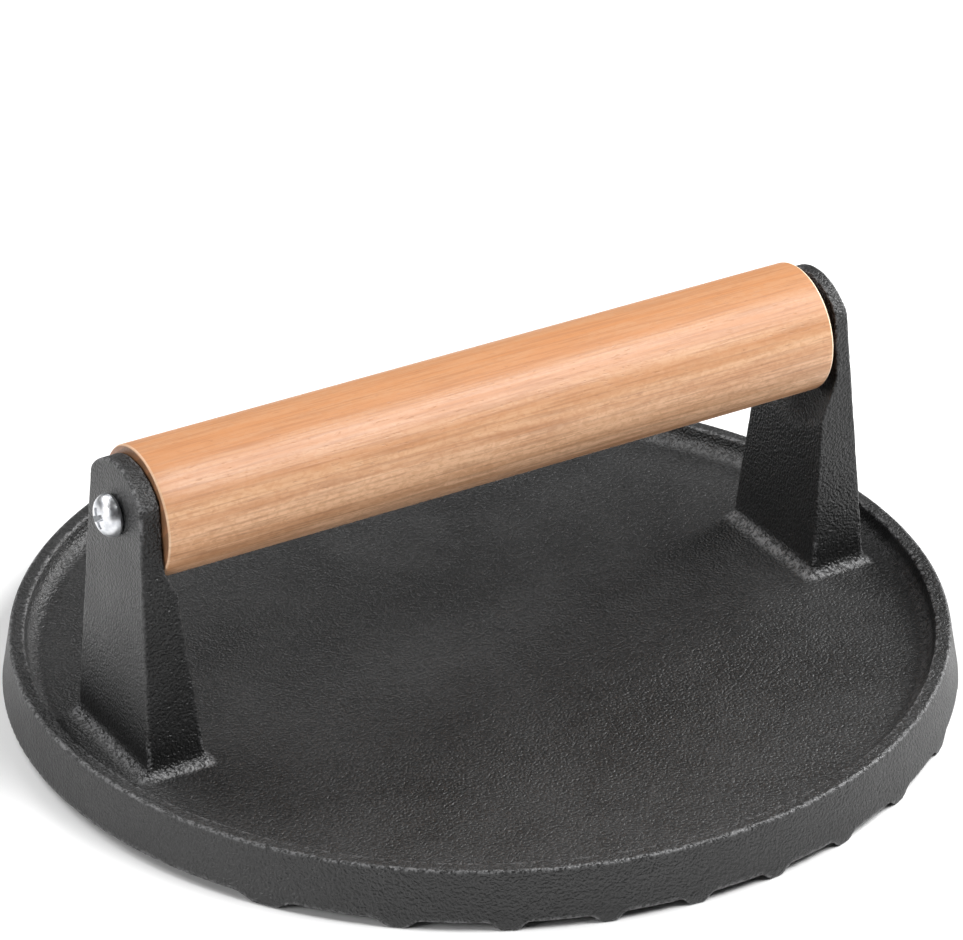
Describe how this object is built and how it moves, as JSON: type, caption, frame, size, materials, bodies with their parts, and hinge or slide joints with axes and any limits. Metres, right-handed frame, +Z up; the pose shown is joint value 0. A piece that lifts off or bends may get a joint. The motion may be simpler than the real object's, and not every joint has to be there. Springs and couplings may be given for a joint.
{
  "type": "patty press",
  "caption": "Round cast-iron patty press with a ribbed underside, a raised rim and a turned wooden handle that rolls on a steel tie rod between two cast posts.",
  "frame": {"origin": "centre of the disc on the plane of the rib crests that the press stands on", "axes": "+Z up; +X along the handle, so each post stands at one end of X; +Y across the handle, along the ribs"},
  "size_m": [0.2038, 0.2038, 0.0752],
  "materials": {
    "cast_iron": "matte black seasoned sand-cast skin with a fine orange-peel texture",
    "beech": "turned beech, satin oiled, fine grain along the handle",
    "rod_steel": "plain turned steel",
    "screw_zinc": "bright zinc plate"
  },
  "bodies": {
    "press": {"press_casting": "cast_iron", "tie_rod": "rod_steel", "handle_screw_left": "screw_zinc", "handle_screw_right": "screw_zinc"},
    "handle": {"wood_handle": "beech"}
  },
  "joints": [
    {"name": "handle_roll", "type": "hinge", "parent": "press", "child": "handle", "pos_m": [0, 0, 0.0611], "axis": [1, 0, 0], "continuous": true}
  ]
}
